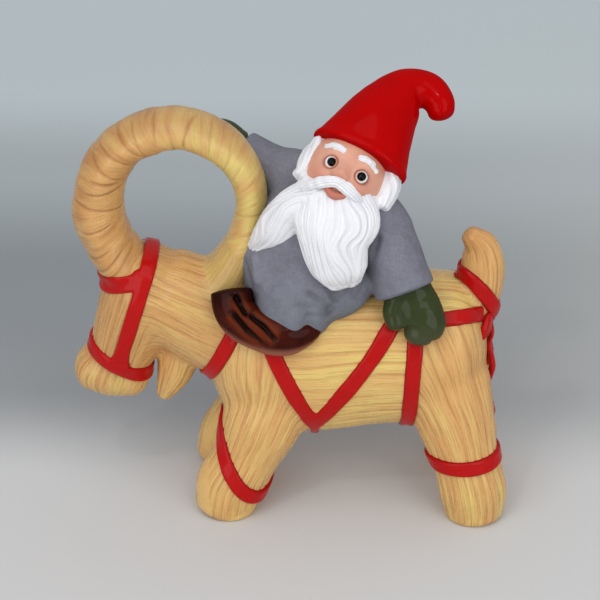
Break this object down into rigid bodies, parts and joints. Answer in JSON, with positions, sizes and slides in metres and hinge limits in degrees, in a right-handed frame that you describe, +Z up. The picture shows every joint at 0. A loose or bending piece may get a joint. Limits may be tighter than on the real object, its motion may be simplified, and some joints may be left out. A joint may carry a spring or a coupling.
{
  "type": "yule goat figurine",
  "caption": "Glazed earthenware yule goat of bound straw with a large horn hoop, ridden by a bearded tomte in a pointed cap.",
  "frame": {"origin": "centre of the figurine's bounding box footprint, on the surface that it stands on", "axes": "+Z up, the goat looks along -X, its left flank faces -Y"},
  "size_m": [0.1812, 0.0734, 0.1835],
  "materials": {
    "straw": "clear yellow glaze over grooved ochre clay",
    "ribbon": "glossy red glaze",
    "tunic": "matt speckled grey slip",
    "mitten": "glossy dark green glaze",
    "trouser": "glossy dark brown glaze",
    "skin": "satin skin-coloured slip",
    "lip": "satin rose slip",
    "white_hair": "white glaze over combed clay",
    "eye": "glossy white with a painted black pupil",
    "cap": "glossy red glaze"
  },
  "bodies": {
    "root": {"goat_body": "straw", "goat_head": "straw", "goat_muzzle": "straw", "goatee": "straw", "horn_hoop": "straw", "goat_tail": "straw", "leg_front_left": "straw", "leg_front_right": "straw", "leg_hind_left": "straw", "leg_hind_right": "straw", "tunic": "tunic", "sleeve_left": "tunic", "sleeve_right": "tunic", "mitten_left": "mitten", "mitten_right": "mitten", "trouser_left": "trouser", "trouser_right": "trouser", "face": "skin", "eye_left": "eye", "eye_right": "eye", "brow_left": "white_hair", "brow_right": "white_hair", "lip": "lip", "moustache": "white_hair", "beard": "white_hair", "beard_wing": "white_hair", "hair": "white_hair", "cap": "cap", "collar": "ribbon", "girth_strap": "ribbon", "saddle_strap": "ribbon", "crupper_strap": "ribbon", "hip_strap_left": "ribbon", "hip_strap_right": "ribbon", "cheek_strap": "ribbon", "noseband": "ribbon", "brow_band": "ribbon", "band_front_left": "ribbon", "band_front_right": "ribbon", "band_hind_left": "ribbon", "band_hind_right": "ribbon", "bow_knot": "ribbon", "bow_loop_left": "ribbon", "bow_loop_right": "ribbon", "bow_end_left": "ribbon", "bow_end_right": "ribbon"}
  },
  "joints": []
}
